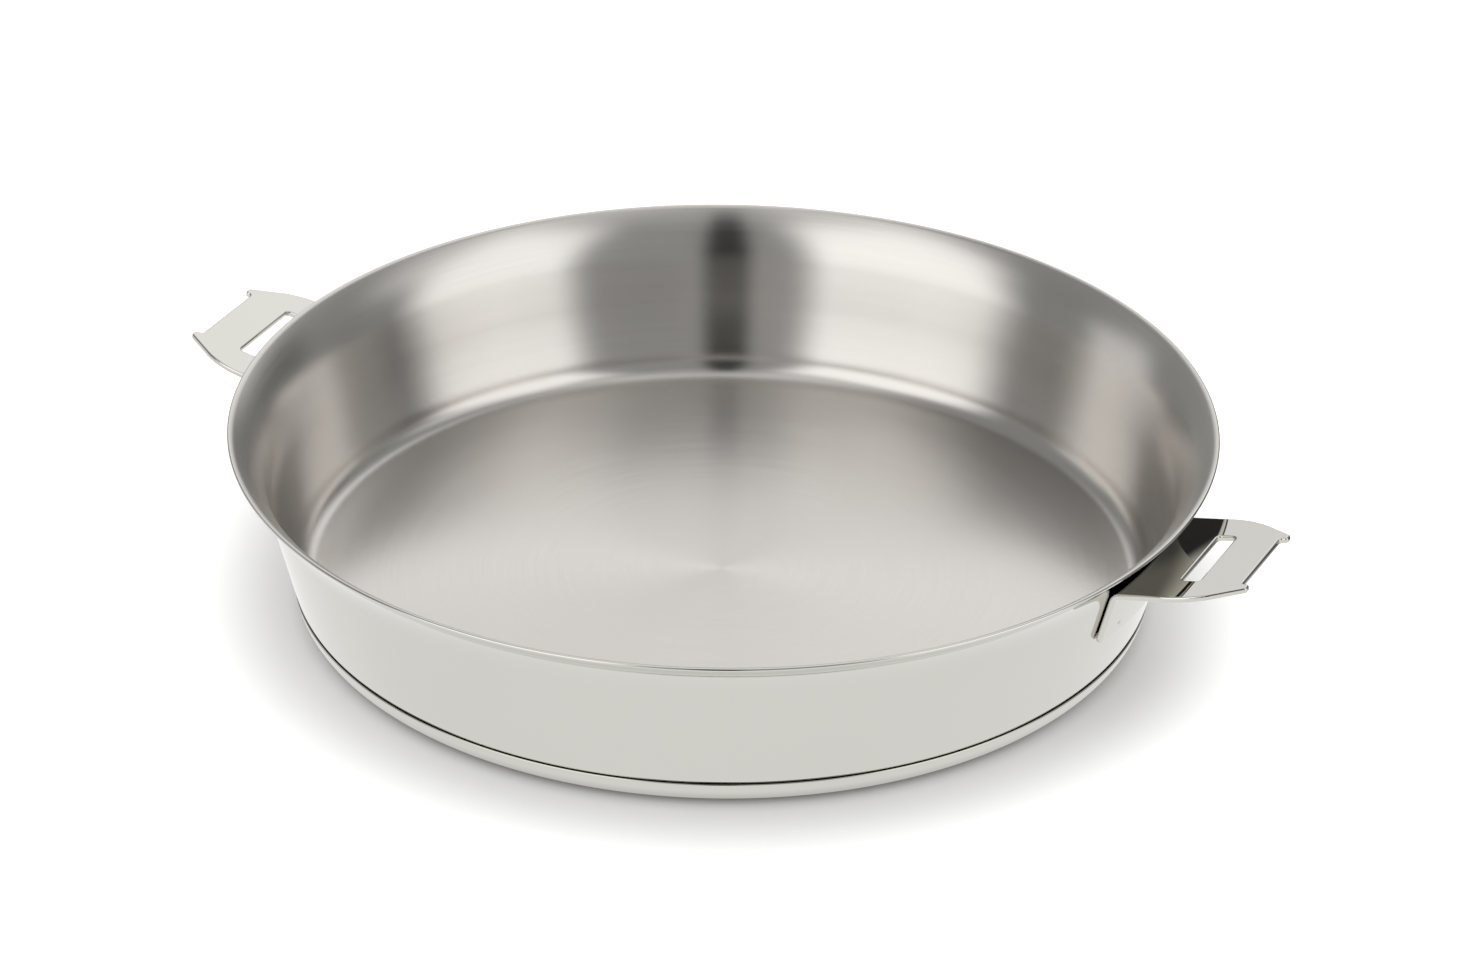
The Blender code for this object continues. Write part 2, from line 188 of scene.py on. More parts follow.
class SteelLook(bpy.types.PropertyGroup):
    """Colours and finishes of the metals"""

    brushed_colour: colour("Brushed Steel", "Colour of the brushed inside", (0.64, 0.618, 0.588))
    polished_colour: colour("Polished Steel", "Colour of the polished steel", (0.64, 0.627, 0.585))
    aluminium_colour: colour("Aluminium", "Colour of the disc", (0.78, 0.78, 0.79))
    weld_colour: colour("Weld", "Colour of the weld metal", (0.42, 0.39, 0.36))
    brushed_roughness: share("Brushed Roughness", "Roughness of the brushed inside", 0.2)
    brushed_direction: share("Brushed Direction", "How far brushing stretches highlights", 1.0)
    line_relief: length("Line Relief", "Height of the brushed lines", 0.0000008)
    wall_hollow: angle("Wall Hollow", "How far the wall's shading leans past its face", 5.5)
    hollow_start: length("Hollow Start", "Height above which that lean starts", 0.012)
    hollow_blend: length("Hollow Blend", "Height over which it sets in", 0.003)
    foot_top: length("Foot Top", "Height below which the wall's shading leans further", 0.03)
    foot_curl: FloatProperty(name="Foot Curl", description="Growth of that lean downwards",
                             default=4.0, min=0.0)
    polished_roughness: share("Polished Roughness", "Roughness of the polished outside", 0.025)
    aluminium_roughness: share("Aluminium Roughness", "Roughness of the disc", 0.36)
    weld_roughness: share("Weld Roughness", "Roughness of the weld metal", 0.42)


class StudioSettings(bpy.types.PropertyGroup):
    """Camera and light of the stage"""

    turn: angle("Turn", "Turn of the pan against the camera's heading", 25.86)
    camera_distance: length("Camera Distance", "From the pan's axis, along the floor", 1.4655)
    camera_height: length("Camera Height", "Above the standing surface", 0.83235)
    camera_yaw: angle("Camera Yaw", "Heading to the right of the pan's axis", 0.0850)
    camera_pitch: angle("Camera Pitch", "Downward tilt", 28.5851)
    camera_roll: angle("Camera Roll", "Tilt about the viewing axis", 0.6627)
    lens: FloatProperty(name="Lens", description="Focal length in millimetres", default=134.911)
    clip_start: length("Clip Start", "Nearest distance that the camera shows", 0.05)
    floor_size: length("Floor Size", "Side of the floor", 30.0)
    floor_gap: length("Floor Gap", "Height of the base over the floor", 0.0001)
    floor_paint: share("Floor Paint", "Grey of the floor, where 1 is white", 0.97)
    # Painted shadow: the floor's grey drops to this beside the base, to deepen the pan's contact
    # shadow.
    floor_painted_shadow: share("Floor Contact", "The same, where the base stands on it", 0.5)
    floor_glow: strength("Floor Glow", "Light that the floor adds to what falls on it", 0.36)
    overhead: strength("Overhead", "Daylight from above, for the floor and its shadow", 1.15)
    fill: strength("Fill", "Daylight from all round, for the floor and its shadow", 0.1)
    side_fill: strength("Side Fill", "Share of the panels in that daylight", 0.3)
    room: strength("Room", "Dim room that reflections meet between the panels", 0.3)
    shade_heading: angle("Shade Heading", "Where reflections meet the darkest floor", 48.0)
    shade_depth: share("Shade Depth", "Share of the floor's light that is missing there", 0.96)
    shade_core: angle("Shade Core", "How far the darkest floor reaches to each side", 38.0)
    shade_spread: angle("Shade Spread", "How far its darkening reaches to each side", 58.0)
    mirror_floor: strength("Mirror Floor", "The floor's light in reflections", 0.97)
    mirror_foot: strength("Mirror Foot", "The same, in the shade beside the base", 0.3)


class Panel(NamedTuple):
    """A soft panel of light or shade in the room, in degrees as seen from the pan.

    Headings turn from the camera's right through the far side; the edges fade over the softness.
    """

    heading: float
    half_width: float
    lowest: float
    highest: float
    softness: float
    strength: float


# From the farthest back to the nearest, so each panel covers those above it.
PANELS = (
    Panel(40, 34, -90, 10, 10, 0.15),
    Panel(45, 12, -90, 26, 6, 0.12),
    Panel(157, 11, -10, 24, 6, 0.8),
    Panel(2, 14, 32, 70, 9, 0.8),
    Panel(200, 15, 38, 66, 9, 1.3),
    Panel(90, 10, 2, 24, 6, 0.75),
    Panel(82, 27, 20, 66, 12, 1.15),
    Panel(223, 28, -90, 66, 9, 1.5),
    Panel(331, 23, -90, 64, 8, 1.4),
    Panel(90, 170, 70, 95, 8, 0.8),
    Panel(285, 45, 62, 95, 12, 0.5),
    Panel(278, 28, -90, 50, 8, 0.36),
    Panel(269.5, 6, -90, 74, 3, 0.02),
)


class Profile:
    """A line drawn from point to point in the plane y = 0, then turned about the Z axis."""

    def __init__(self, radius, height):
        self.mesh = bmesh.new()
        self.end = self.mesh.verts.new((radius, 0.0, height))

    def line_to(self, radius, height, steps=1):
        """Draw a straight line in equal steps."""
        start = self.end.co.copy()
        target = Vector((radius, 0.0, height))
        for step in range(1, steps + 1):
            made = bmesh.ops.extrude_vert_indiv(self.mesh, verts=[self.end])
            self.end = made["verts"][0]
            self.end.co = start.lerp(target, step / steps)

    def arc(self, centre, sweep, steps):
        """Draw an arc about a centre (radius, height); a positive sweep climbs outside it."""
        made = bmesh.ops.spin(self.mesh, geom=[self.end], cent=(centre.x, 0.0, centre.y),
                              axis=(0, -1, 0), angle=sweep, steps=steps, use_merge=False)
        self.end = next(item for item in made["geom_last"] if isinstance(item, bmesh.types.BMVert))

    def turned(self, steps):
        """The closed solid that the profile describes about the Z axis."""
        bmesh.ops.spin(self.mesh, geom=self.mesh.verts[:] + self.mesh.edges[:], cent=(0, 0, 0),
                       axis=(0, 0, 1), angle=math.tau, steps=steps, use_merge=True)
        bmesh.ops.remove_doubles(self.mesh, verts=self.mesh.verts, dist=MERGE_DISTANCE)
        bmesh.ops.recalc_face_normals(self.mesh, faces=self.mesh.faces)
        return self.mesh


class ShellShape:
    """Heights, angles and arc centres that follow from the pan's sizes."""

    def __init__(self, sizes):
        self.draft = sizes.wall_draft
        self.slope = math.tan(sizes.wall_draft)
        self.underside = 2 * sizes.fit_gap + sizes.cap_sheet + sizes.disc_thickness
        self.floor = self.underside + sizes.sheet
        self.edge_angle = math.pi / 2 + sizes.lip_rise
        self.flare_angle = math.pi - sizes.flare_lean
        self.wall_angle = math.pi - sizes.wall_draft
        self.flare_inner = sizes.flare_radius
        self.flare_outer = sizes.flare_radius - sizes.sheet
        self.edge_centre = Vector((sizes.rim_diameter / 2 - sizes.sheet / 2,
                                   sizes.height - sizes.sheet / 2))
        lip_middle = sizes.lip_radius - sizes.sheet / 2
        self.lip_centre = self.edge_centre - lip_middle * direction(self.edge_angle)
        growth = sizes.flare_radius - sizes.lip_radius
        self.flare_centre = self.lip_centre - growth * direction(self.flare_angle)
        self.outer_corner = sizes.corner_radius + sizes.sheet
        corner_height = self.floor + sizes.corner_radius
        corner_reach = self.outer_corner / math.cos(sizes.wall_draft)
        self.corner = Vector((self.wall_radius(corner_height) - corner_reach, corner_height))

    def wall_radius(self, height):
        """Radius of the straight outer wall at a height."""
        tangent = self.flare_centre + self.flare_outer * direction(self.wall_angle)
        return tangent.x + (height - tangent.y) * self.slope


def direction(turned):
    """Unit vector at an angle from the first axis."""
    return Vector((math.cos(turned), math.sin(turned)))


def add_piece(name, mesh_data, materials, stands_for):
    """Turn a bmesh into a smooth-shaded piece that rides on the pan."""
    for face in mesh_data.faces:
        face.smooth = True
    for edge in mesh_data.edges:
        edge.smooth = edge.smooth and edge.calc_face_angle(0.0) < SMOOTH_ANGLE
    mesh = bpy.data.meshes.new(name)
    mesh_data.to_mesh(mesh)
    mesh_data.free()
    for material in materials:
        mesh.materials.append(material)
    piece = bpy.data.objects.new(name, mesh)
    bpy.context.scene.collection.objects.link(piece)
    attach(piece, BODY)
    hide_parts(stands_for)


def shell_mesh(sizes):
    """Floor, wall and lip on the food side, round the edge and back underneath."""
    shape = ShellShape(sizes)
    corner_sweep = math.pi / 2 - shape.draft
    flare_sweep = shape.wall_angle - shape.flare_angle
    lip_sweep = shape.flare_angle - shape.edge_angle
    profile = Profile(0.0, shape.floor)
    profile.line_to(shape.corner.x, shape.floor, FLOOR_STEPS)
    profile.arc(shape.corner, corner_sweep, CORNER_STEPS)
    flare_start = shape.flare_centre + shape.flare_inner * direction(shape.wall_angle)
    profile.line_to(*flare_start, WALL_STEPS)
    profile.arc(shape.flare_centre, -flare_sweep, FLARE_STEPS)
    profile.arc(shape.lip_centre, -lip_sweep, LIP_STEPS)
    profile.arc(shape.edge_centre, -math.pi, EDGE_STEPS)
    profile.arc(shape.lip_centre, lip_sweep, LIP_STEPS)
    profile.arc(shape.flare_centre, flare_sweep, FLARE_STEPS)
    corner_start = shape.corner + shape.outer_corner * direction(-shape.draft)
    profile.line_to(*corner_start, WALL_STEPS)
    profile.arc(shape.corner, -corner_sweep, CORNER_STEPS)
    profile.line_to(0.0, shape.underside, FLOOR_STEPS)
    return profile.turned(sizes.turn_steps)


def outside_faces(mesh_data, sizes):
    """Give the faces that the food doesn't touch the second material."""
    shape = ShellShape(sizes)
    for face in mesh_data.faces:
        middle = face.calc_center_median()
        radius = math.hypot(middle.x, middle.y)
        outwards = face.normal.x * middle.x + face.normal.y * middle.y
        beyond_lip = radius > shape.edge_centre.x
        facing_down = face.normal.z < DOWN_NORMAL
        if beyond_lip or facing_down or (outwards > 0 and radius < shape.lip_centre.x):
            face.material_index = 1


def cap_corner(sizes):
    """Centre of the cap's corner and the angle at which its wall leaves the corner."""
    shape = ShellShape(sizes)
    top = shape.underside + sizes.cap_lap
    inner_radius = sizes.cap_corner_radius - sizes.cap_sheet
    shell_reach = shape.outer_corner + sizes.seam_gap
    edge_drop = min(top - shape.corner.y, 0.0)
    edge_radius = shape.corner.x + math.sqrt(shell_reach ** 2 - edge_drop ** 2)
    wall_foot = sizes.cap_corner_radius - inner_radius * math.sin(sizes.wall_draft)
    if top > wall_foot:
        wall_run = (top - wall_foot) * shape.slope
        centre_radius = edge_radius - wall_run - inner_radius * math.cos(sizes.wall_draft)
        return Vector((centre_radius, sizes.cap_corner_radius)), -sizes.wall_draft
    edge_angle = math.asin((top - sizes.cap_corner_radius) / inner_radius)
    centre_radius = edge_radius - inner_radius * math.cos(edge_angle)
    return Vector((centre_radius, sizes.cap_corner_radius)), edge_angle


def cap_mesh(sizes):
    """Inside of the cap from its middle to its rounded edge, then back along the outside."""
    centre, wall_angle = cap_corner(sizes)
    top = ShellShape(sizes).underside + sizes.cap_lap
    lean = math.tan(-wall_angle)
    radii = (sizes.cap_corner_radius - sizes.cap_sheet, sizes.cap_corner_radius)
    feet = [centre + radius * direction(wall_angle) for radius in radii]
    edge = sizes.cap_edge_radius
    inside, outside = (foot.x + (top - foot.y) * lean - edge * lean for foot in feet)
    sweep = wall_angle + math.pi / 2
    profile = Profile(0.0, sizes.cap_sheet)
    profile.line_to(centre.x, sizes.cap_sheet, CAP_FLOOR_STEPS)
    profile.arc(centre, sweep, CAP_INNER_STEPS)
    profile.line_to(inside, top - edge)
    profile.arc(Vector((inside + edge, top - edge)), -math.pi / 2, CAP_EDGE_STEPS)
    profile.line_to(outside - edge, top)
    profile.arc(Vector((outside - edge, top - edge)), -math.pi / 2, CAP_EDGE_STEPS)
    profile.line_to(*feet[1])
    profile.arc(centre, -sweep, CAP_OUTER_STEPS)
    profile.line_to(0.0, 0.0, CAP_FLOOR_STEPS)
    return profile.turned(sizes.turn_steps)


class BracketShape:
    """Places on the bracket: u is the distance from the pan's axis, v runs across the bracket.

    The flat blank's own coordinate x equals u on the plate, and runs on round the bend to the
    leg, whose inner face follows the round wall one gap away.
    """

    def __init__(self, sizes, pan):
        self.shell = ShellShape(pan)
        self.gap = pan.fit_gap / math.cos(pan.wall_draft)
        self.slope = math.tan(sizes.plate_slope)
        self.plate_angle = sizes.plate_slope
        self.rim_radius = pan.rim_diameter / 2
        self.rim_plate_height = pan.height - sizes.plate_drop
        self.foot_height = pan.height - sizes.leg_drop
        self.outer_bend = sizes.bend_radius + sizes.sheet
        self.recess = self.rim_radius + sizes.reach - sizes.horn_length
        foot, lean, centre = self.section(0.0)
        self.bend_length = self.outer_bend * (math.pi / 2 - pan.wall_draft - self.plate_angle)
        self.bend_end = centre.x - self.outer_bend * math.sin(self.plate_angle)
        self.plate_start = self.bend_end + sizes.sheet / 2
        self.bend_start = self.bend_end - self.bend_length
        leg_rise = centre.y + self.outer_bend * math.sin(lean) - self.foot_height
        self.leg_length = leg_rise / math.cos(lean)
        self.leg_edge = self.bend_start - self.leg_length

    def plate_height(self, u):
        """Height of the plate's top face."""
        return self.rim_plate_height + (u - self.rim_radius) * self.slope

    def leg_u(self, height, v):
        """Distance of the leg's inner face from the pan's axis."""
        face_radius = self.shell.wall_radius(height) + self.gap
        return math.sqrt(face_radius ** 2 - v ** 2)

    @cache
    def section(self, v):
        """Foot of the leg, its lean and the bend's centre in the slice of the bracket at v."""
        top_height = self.plate_height(self.rim_radius)
        foot = Vector((self.leg_u(self.foot_height, v), self.foot_height))
        lean_slope = (self.leg_u(top_height, v) - foot.x) / (top_height - foot.y)
        lean = math.atan(lean_slope)
        plate_offset = self.plate_height(0.0) - self.outer_bend / math.cos(self.plate_angle)
        leg_offset = foot.x - foot.y * lean_slope + self.outer_bend / math.cos(lean)
        centre_u = (leg_offset + lean_slope * plate_offset) / (1 - lean_slope * self.slope)
        return foot, lean, Vector((centre_u, plate_offset + centre_u * self.slope))

    def bend(self, point):
        """Move a point of the flat blank to its place on the bent bracket."""
        x, v, depth = point.x, point.y, -point.z
        foot, lean, centre = self.section(v)
        if x >= self.bend_end:
            tangent_u = centre.x - self.outer_bend * math.sin(self.plate_angle)
            run = min((x - self.bend_end) / (self.plate_start - self.bend_end), 1.0)
            u = tangent_u + run * (self.plate_start - tangent_u) + max(x - self.plate_start, 0.0)
            face = Vector((u, self.plate_height(u)))
            outward = math.pi / 2 + self.plate_angle
        else:
            turned = min(max((x - self.bend_start) / self.bend_length, 0.0), 1.0)
            outward = (math.pi - lean) + turned * (self.plate_angle + lean - math.pi / 2)
            face = centre + self.outer_bend * direction(outward)
            if x < self.bend_start:
                face = face.lerp(foot, (self.bend_start - x) / self.leg_length)
        face -= depth * direction(outward)
        return Vector((face.x, v, face.y))


def plate_corners(sizes, shape):
    """Corners (x, y, radius) of the blank: leg, sides, tapers, horns and recessed edge."""
    side = sizes.width / 2
    tip = shape.recess + sizes.horn_length
    horn_outside = sizes.horn_span / 2
    horn_inside = horn_outside - sizes.horn_width
    half = [(shape.leg_edge, side, sizes.leg_corner_radius),
            (tip - sizes.taper_length, side, sizes.taper_radius),
            (tip, horn_outside, sizes.horn_radius),
            (tip, horn_inside, sizes.horn_radius),
            (shape.recess, horn_inside, sizes.horn_radius)]
    return half + [(x, -y, radius) for x, y, radius in reversed(half)]


def slot_corners(sizes, shape):
    """Corners (x, y, radius) of the slot across the plate."""
    outer = shape.recess - sizes.slot_to_edge
    inner = outer - sizes.slot_width
    side = sizes.slot_length / 2
    return [(x, y, sizes.slot_radius) for x, y in
            ((inner, side), (outer, side), (outer, -side), (inner, -side))]


def draw_outline(blank, corners):
    """Draw a closed outline and round each of its corners to its radius."""
    points = [Vector((x, y, 0.0)) for x, y, _ in corners]
    loop = [blank.verts.new(point) for point in points]
    for pair in zip(loop, loop[1:] + loop[:1]):
        blank.edges.new(pair)
    for index, (_, _, radius) in enumerate(corners):
        before = points[index - 1] - points[index]
        after = points[(index + 1) % len(points)] - points[index]
        offset = radius / math.tan(before.angle(after) / 2)
        bmesh.ops.bevel(blank, geom=[loop[index]], offset=offset, offset_type="OFFSET",
                        affect="VERTICES", segments=OUTLINE_STEPS, profile=0.5, material=-1)


def bracket_blank(sizes, shape):
    """The flat punched sheet with rounded edges, its top face at z = 0."""
    blank = bmesh.new()
    draw_outline(blank, plate_corners(sizes, shape))
    draw_outline(blank, slot_corners(sizes, shape))
    filled = bmesh.ops.triangle_fill(blank, edges=blank.edges, use_beauty=True,
                                     use_dissolve=True, normal=(0, 0, 1))
    faces = [item for item in filled["geom"] if isinstance(item, bmesh.types.BMFace)]
    pushed = bmesh.ops.extrude_face_region(blank, geom=faces, use_keep_orig=True)
    lower = [item for item in pushed["geom"] if isinstance(item, bmesh.types.BMVert)]
    bmesh.ops.translate(blank, verts=lower, vec=(0, 0, -sizes.sheet))
    bmesh.ops.recalc_face_normals(blank, faces=blank.faces)
    rims = [edge for edge in blank.edges if edge.calc_face_angle(0.0) > SMOOTH_ANGLE
            and abs(edge.verts[0].co.z - edge.verts[1].co.z) < sizes.sheet / 2]
    bmesh.ops.bevel(blank, geom=rims, affect="EDGES", offset=sizes.edge_radius,
                    segments=ROUNDING_STEPS, profile=0.5, material=-1)
    for edge in blank.edges:
        flat = [abs(face.normal.z) > FLAT_NORMAL for face in edge.link_faces]
        edge.smooth = all(flat) or not any(flat)
    return blank


def cut_across(blank, places, normal):
    """Cut the blank along parallel planes, so that it can bend between them."""
    for place in places:
        bmesh.ops.bisect_plane(blank, geom=blank.verts[:] + blank.edges[:] + blank.faces[:],
                               dist=MERGE_DISTANCE, plane_co=place * Vector(normal),
                               plane_no=normal)


def evenly(start, end, count):
    """Places from start to end in equal steps, both ends included."""
    return [start + (end - start) * step / count for step in range(count + 1)]


def mark_places(sizes, shape):
    """Middles (x, y) of the weld marks on the flat blank."""
    x = shape.leg_edge + sizes.mark_to_edge
    outermost = sizes.width / 2 - sizes.mark_to_side
    return [Vector((x, y)) for y in evenly(-outermost, outermost, sizes.mark_count - 1)]


def push_marks(blank, sizes, marks):
    """Push the leg's outer face in where the tip of the welding tool pressed on it."""
    for vertex in blank.verts:
        if vertex.co.z > -sizes.sheet + MERGE_DISTANCE:
            continue
        nearest = min((vertex.co.xy - mark).length for mark in marks)
        share_in = max(1.0 - (nearest / sizes.mark_radius) ** 2, 0.0)
        vertex.co.z += sizes.mark_depth * math.sqrt(share_in)


def dull_marks(blank, sizes, marks):
    """Give the middles of the marks on the leg's outer face the second material."""
    for face in blank.faces:
        middle = face.calc_center_median()
        nearest = min((middle.xy - mark).length for mark in marks)
        if middle.z < -sizes.sheet / 2 and nearest < sizes.mark_radius * DULL_SHARE:
            face.material_index = 1


def bracket_mesh(sizes, pan, azimuth):
    """One bracket, bent and turned about the pan's axis to its place."""
    shape = BracketShape(sizes, pan)
    blank = bracket_blank(sizes, shape)
    side = sizes.width / 2
    leg_cuts = evenly(shape.leg_edge, shape.bend_start, LEG_STEPS)[1:-1]
    bend_cuts = evenly(shape.bend_start, shape.bend_end, BEND_STEPS)
    plate_cuts = evenly(shape.plate_start, shape.recess, PLATE_STEPS)[:-1]
    cut_across(blank, leg_cuts + bend_cuts + plate_cuts, (1, 0, 0))
    cut_across(blank, evenly(-side, side, ACROSS_STEPS)[1:-1], (0, 1, 0))
    marks = mark_places(sizes, shape)
    push_marks(blank, sizes, marks)
    dull_marks(blank, sizes, marks)
    for vertex in blank.verts:
        vertex.co = shape.bend(vertex.co)
    bmesh.ops.rotate(blank, verts=blank.verts, cent=(0, 0, 0),
                     matrix=Matrix.Rotation(azimuth, 3, "Z"))
    return blank


class Number:
    """A socket that gives a number. Python arithmetic on it adds Math nodes."""

    def __init__(self, nodes, socket):
        self.nodes = nodes
        self.socket = socket

    def math(self, operation, *others):
        """The result of one Math node whose first value is this number."""
        return self.nodes.math(operation, self, *others)

    def __add__(self, other):
        return self.math("ADD", other)

    def __sub__(self, other):
        return self.math("SUBTRACT", other)

    def __rsub__(self, other):
        return self.nodes.math("SUBTRACT", other, self)

    def __mul__(self, other):
        return self.math("MULTIPLY", other)

    def __truediv__(self, other):
        return self.math("DIVIDE", other)

    __radd__ = __add__
    __rmul__ = __mul__


class Nodes:
    """A node tree under construction."""

    def __init__(self, tree):
        self.tree = tree

    def add(self, kind, inputs=None, **settings):
        """A node with its settings, then its sockets' values or links."""
        node = self.tree.nodes.new(kind)
        for name, value in settings.items():
            setattr(node, name, value)
        for key, value in (inputs or {}).items():
            self.feed(node.inputs[key], value)
        return node

    def feed(self, socket, value):
        """Set a socket to a value or link it."""
        if isinstance(value, Number):
            value = value.socket
        if isinstance(value, bpy.types.NodeSocket):
            self.tree.links.new(value, socket)
        else:
            socket.default_value = value

    def number(self, kind, inputs=None, output=0, **settings):
        """One output of a new node, as a number."""
        return Number(self, self.add(kind, inputs, **settings).outputs[output])

    def math(self, operation, *values):
        """The result of one Math node."""
        return self.number("ShaderNodeMath", dict(enumerate(values)), operation=operation)

    def parts(self, vector):
        """X, Y and Z of a vector socket."""
        made = self.add("ShaderNodeSeparateXYZ", {0: vector})
        return [Number(self, output) for output in made.outputs]

    def vector(self, x, y, z):
        """A vector socket of three numbers."""
        return self.add("ShaderNodeCombineXYZ", {0: x, 1: y, 2: z}).outputs[0]

    def coordinates(self, kind):
        """One output of a Texture Coordinate node."""
        return self.add("ShaderNodeTexCoord").outputs[kind]

    def noise(self, vector, scale, detail):
        """Noise between 0 and 1, around 0.5."""
        return self.number("ShaderNodeTexNoise",
                           {"Vector": vector, "Scale": scale, "Detail": detail},
                           noise_dimensions="3D")

    def between(self, value, low, high):
        """0 below low, 1 above high, and a smooth step between."""
        return self.number("ShaderNodeMapRange",
                           {"Value": value, "From Min": low, "From Max": high},
                           interpolation_type="SMOOTHSTEP")

    def blend(self, factor, first, second):
        """A colour between two colours."""
        made = self.add("ShaderNodeMix", {"Factor": factor, "A": first, "B": second},
                        data_type="RGBA")
        return made.outputs["Result"]

    def mix_shaders(self, factor, first, second):
        """A shader between two nodes' shaders."""
        return self.add("ShaderNodeMixShader",
                        {0: factor, 1: first.outputs[0], 2: second.outputs[0]})


class MetalLook(Nodes):
    """A bare metal under construction."""

    def __init__(self, name, constants):
        self.material = bpy.data.materials.new(name)
        self.material.use_nodes = True
        super().__init__(self.material.node_tree)
        self.shader = self.tree.nodes["Principled BSDF"]
        for key, value in {"Metallic": 1.0, **constants}.items():
            self.feed(self.shader.inputs[key], value)
        self.place = self.coordinates("Object")

    def around_axis(self):
        """Distance from the Z axis, height, and the direction from the axis as two numbers."""
        x, y, z = self.parts(self.place)
        radius = (x * x + y * y).math("SQRT")
        steady = radius.math("MAXIMUM", NEAR_AXIS)
        return radius, z, x / steady, y / steady

    def streaks(self, run, east, north, across, along):
        """Noise drawn out into circles about the Z axis, by its scales across and along them."""
        drawn_out = self.vector(run * across, east * along, north * along)
        return self.noise(drawn_out, scale=1.0, detail=3.0)

    def tinted(self, pattern, base, darkest, lightest):
        """The base colour, from its darkest to its lightest share by a pattern."""
        return self.blend(pattern, scaled(base, darkest), scaled(base, lightest))

    def finish(self, tint, roughness, height, bump_distance):
        """Feed the sockets that vary over the surface."""
        self.feed(self.shader.inputs["Base Color"], tint)
        self.feed(self.shader.inputs["Roughness"], roughness)
        bump = self.add("ShaderNodeBump", {"Strength": 1.0, "Distance": bump_distance,
                                           "Height": height})
        self.feed(self.shader.inputs["Normal"], bump.outputs[0])
        return self.material


def scaled(base, factor):
    """A colour for a socket, scaled."""
    return (*(part * factor for part in base), 1.0)


def swing(noise, reach):
    """A noise moved to lie around 0 and scaled to a reach."""
    return (noise - 0.5) * reach


def brushed_steel(name, look):
    """Steel brushed in circles about the pan's axis, for the food side."""
    metal = MetalLook(name, {"Anisotropic": look.brushed_direction,
                             "Anisotropic Rotation": 0.25})
    radius, height, east, north = metal.around_axis()
    run = radius + height
    fine = metal.streaks(run, east, north, across=2600.0, along=3.0)
    broad = metal.streaks(run, east, north, across=420.0, along=1.4)
    stain = metal.noise(metal.place, scale=22.0, detail=3.0)
    lines = fine * FINE_SHARE + broad * (1.0 - FINE_SHARE)
    tint = metal.tinted(metal.between(lines, low=0.3, high=0.7), look.brushed_colour,
                        darkest=0.975, lightest=1.02)
    roughness = look.brushed_roughness + swing(lines, reach=0.06) + swing(stain, reach=0.02)
    wall = height.math("SMOOTH_MAX", look.hollow_start, look.hollow_blend)
    foot = (look.foot_top - wall).math("MAXIMUM", 0.0)
    wall_relief = lines * look.line_relief - wall * math.tan(look.wall_hollow)
    relief = wall_relief + foot * foot * look.foot_curl
    return metal.finish(tint, roughness, relief, bump_distance=1.0)


def polished_steel(name, look):
    """Mirror-polished steel of the outside and of the brackets."""
    metal = MetalLook(name, {})
    cloud = metal.noise(metal.place, scale=9.0, detail=2.0)
    haze = metal.noise(metal.place, scale=60.0, detail=4.0)
    fine = metal.noise(metal.place, scale=900.0, detail=3.0)
    tint = metal.tinted(metal.between(cloud, low=0.3, high=0.7), look.polished_colour,
                        darkest=0.985, lightest=1.015)
    roughness = look.polished_roughness + swing(haze, reach=0.02) + swing(fine, reach=0.01)
    return metal.finish(tint, roughness, cloud, bump_distance=0.0002)


def rolled_aluminium(name, look):
    """Plain rolled aluminium of the disc, with its grain along one direction."""
    metal = MetalLook(name, {"Anisotropic": 0.4})
    across, along = 1800.0, 60.0
    x, y, z = metal.parts(metal.place)
    drawn_out = metal.vector(x * across, y * along, z * across)
    grain = metal.noise(drawn_out, scale=1.0, detail=3.0)
    tint = metal.tinted(grain, look.aluminium_colour, darkest=0.93, lightest=1.04)
    roughness = look.aluminium_roughness + swing(grain, reach=0.15)
    return metal.finish(tint, roughness, grain, bump_distance=0.000006)


def weld_metal(name, look):
    """Dull metal of the spot welds, tinted by heat."""
    metal = MetalLook(name, {})
    blotch = metal.noise(metal.place, scale=700.0, detail=3.0)
    tint = metal.tinted(blotch, look.weld_colour, darkest=0.75, lightest=1.2)
    roughness = look.weld_roughness + swing(blotch, reach=0.2)
    return metal.finish(tint, roughness, blotch, bump_distance=0.00002)


MAKERS = {"steel_brushed": brushed_steel, "steel_mirror": polished_steel,
          "rolled_aluminium": rolled_aluminium, "weld_metal": weld_metal}


def material_once(name, look):
    """The material of that name, made when it is first asked for."""
    return bpy.data.materials.get(name) or MAKERS[name](name, look)


class PAN_OT_shell(bpy.types.Operator):
    """Build the drawn shell, brushed inside and polished outside"""

    bl_idname = "pan.build_shell"
    bl_label = "Build Shell"

    def execute(self, context):
        sizes, look = context.scene.pan_sizes, context.scene.pan_steel
        mesh_data = shell_mesh(sizes)
        outside_faces(mesh_data, sizes)
        materials = [material_once("steel_brushed", look), material_once("steel_mirror", look)]
        add_piece("shell_drawn", mesh_data, materials, "pan_shell")
        return {"FINISHED"}


class PAN_OT_base(bpy.types.Operator):
    """Build the cap under the base and give the disc inside it its aluminium"""

    bl_idname = "pan.build_base"
    bl_label = "Build Base"

    def execute(self, context):
        look = context.scene.pan_steel
        materials = [material_once("steel_mirror", look)]
        add_piece("base_cap_pressed", cap_mesh(context.scene.pan_sizes), materials,
                  "base_cap")
        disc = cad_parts["heat_spreader_disc"]
        disc.material_slots[0].material = material_once("rolled_aluminium", look)
        return {"FINISHED"}


